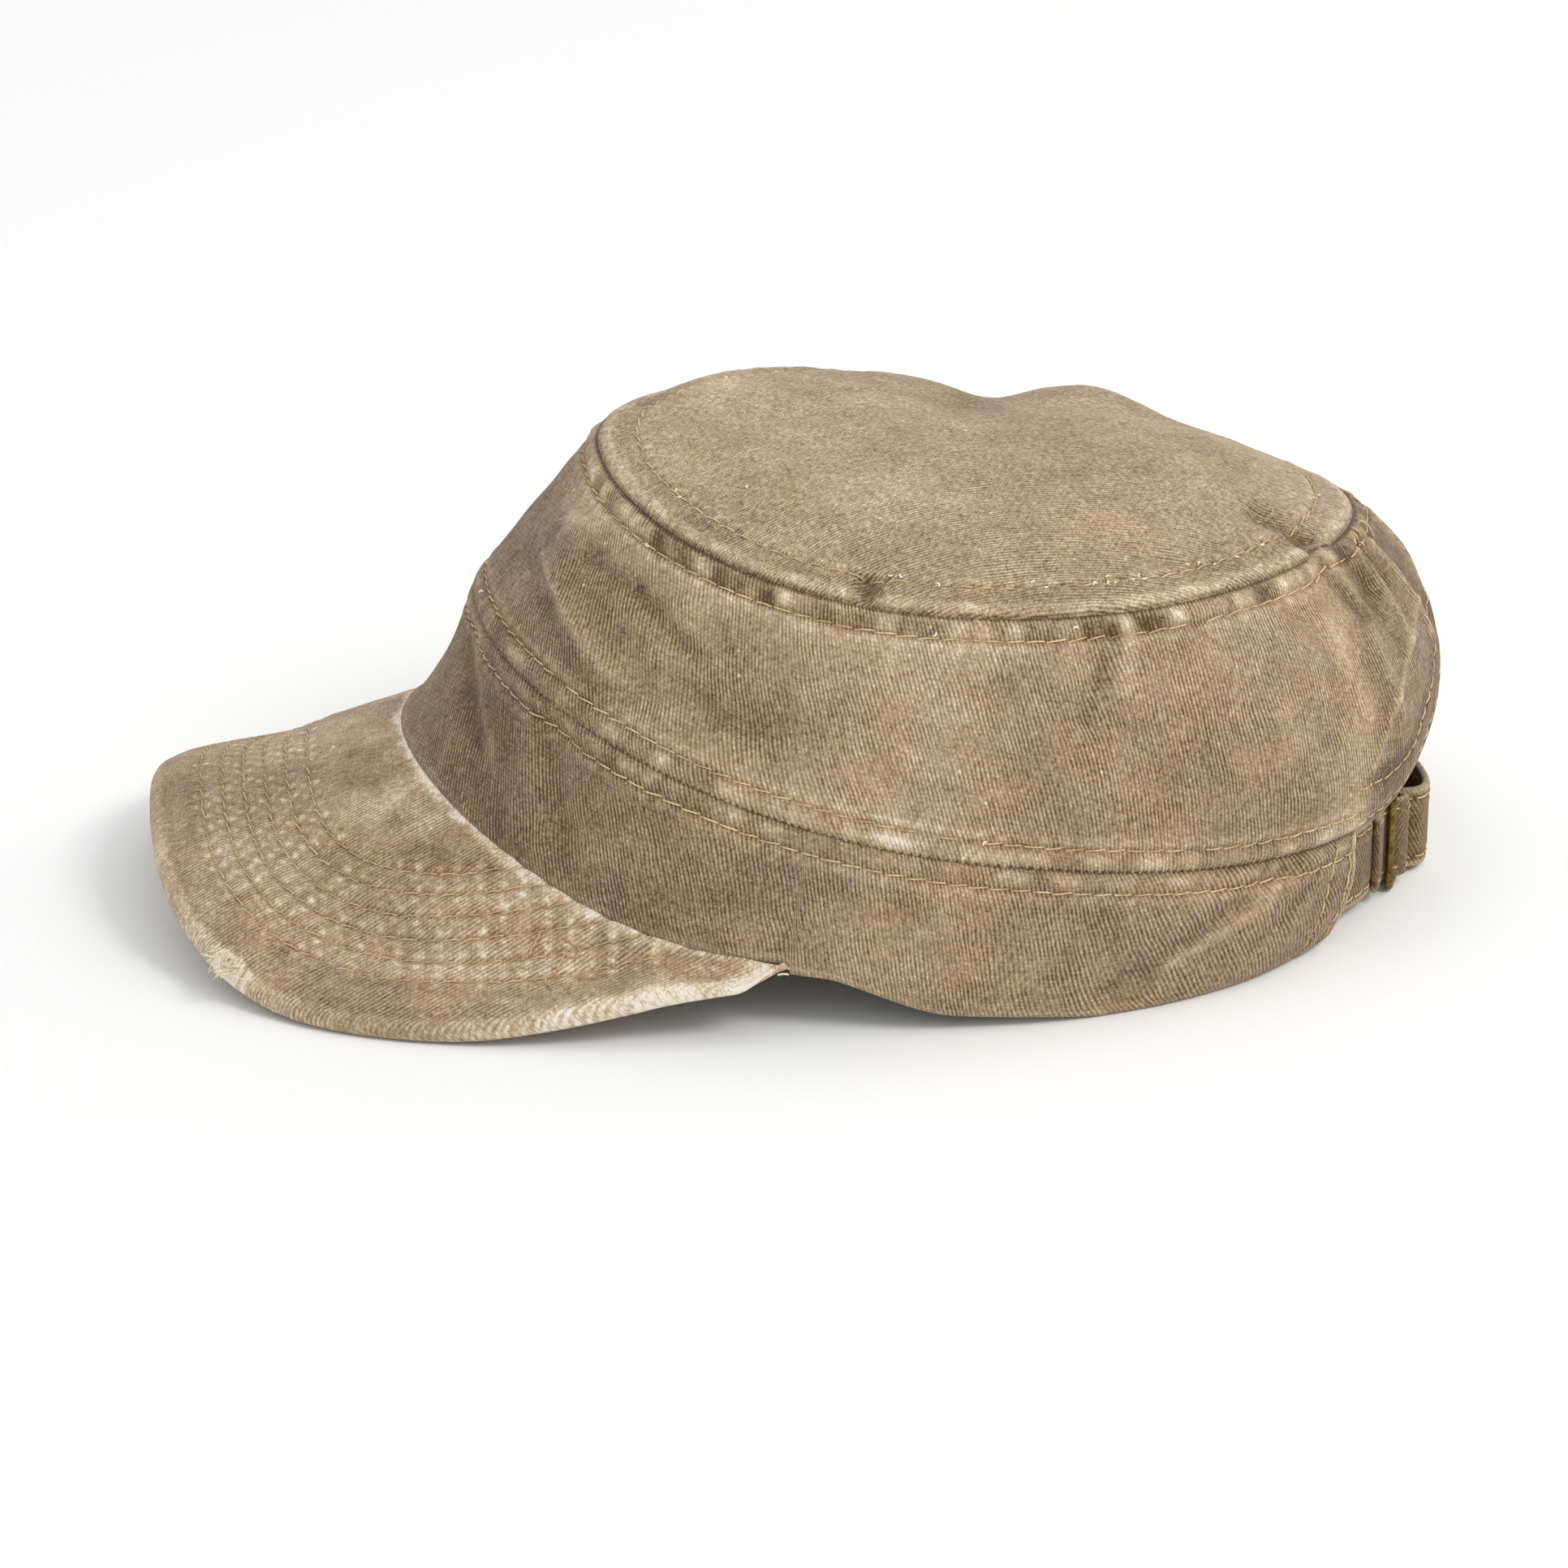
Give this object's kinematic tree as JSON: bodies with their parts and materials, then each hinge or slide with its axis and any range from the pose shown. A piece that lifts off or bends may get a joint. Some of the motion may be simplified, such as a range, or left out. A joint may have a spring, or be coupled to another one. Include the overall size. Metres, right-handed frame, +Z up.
{
  "type": "military cap",
  "caption": "Washed cotton-twill military cap with an oval top, low side wall, band, arched stitched peak and a rear opening closed by a strap and wire buckle.",
  "frame": {"origin": "on the surface that the cap rests on, under the middle of the cap's box", "axes": "+Z up; the peak points to -X; -Y is the wearer's left side, where the buckle sits"},
  "size_m": [0.2558, 0.1686, 0.0901],
  "materials": {
    "twill": "washed khaki-brown cotton twill, matte",
    "peak_twill": "washed khaki-brown cotton twill, worn pale at the edge",
    "lining": "dark navy plain cotton, matte",
    "strap_twill": "washed brown cotton twill, matte",
    "brass": "antiqued dark brass"
  },
  "bodies": {
    "root": {"crown_top": "twill", "crown_side": "twill", "band": "twill", "peak": "peak_twill", "sweatband": "lining", "strap_left": "strap_twill", "strap_right": "strap_twill", "buckle": "brass"}
  },
  "joints": []
}
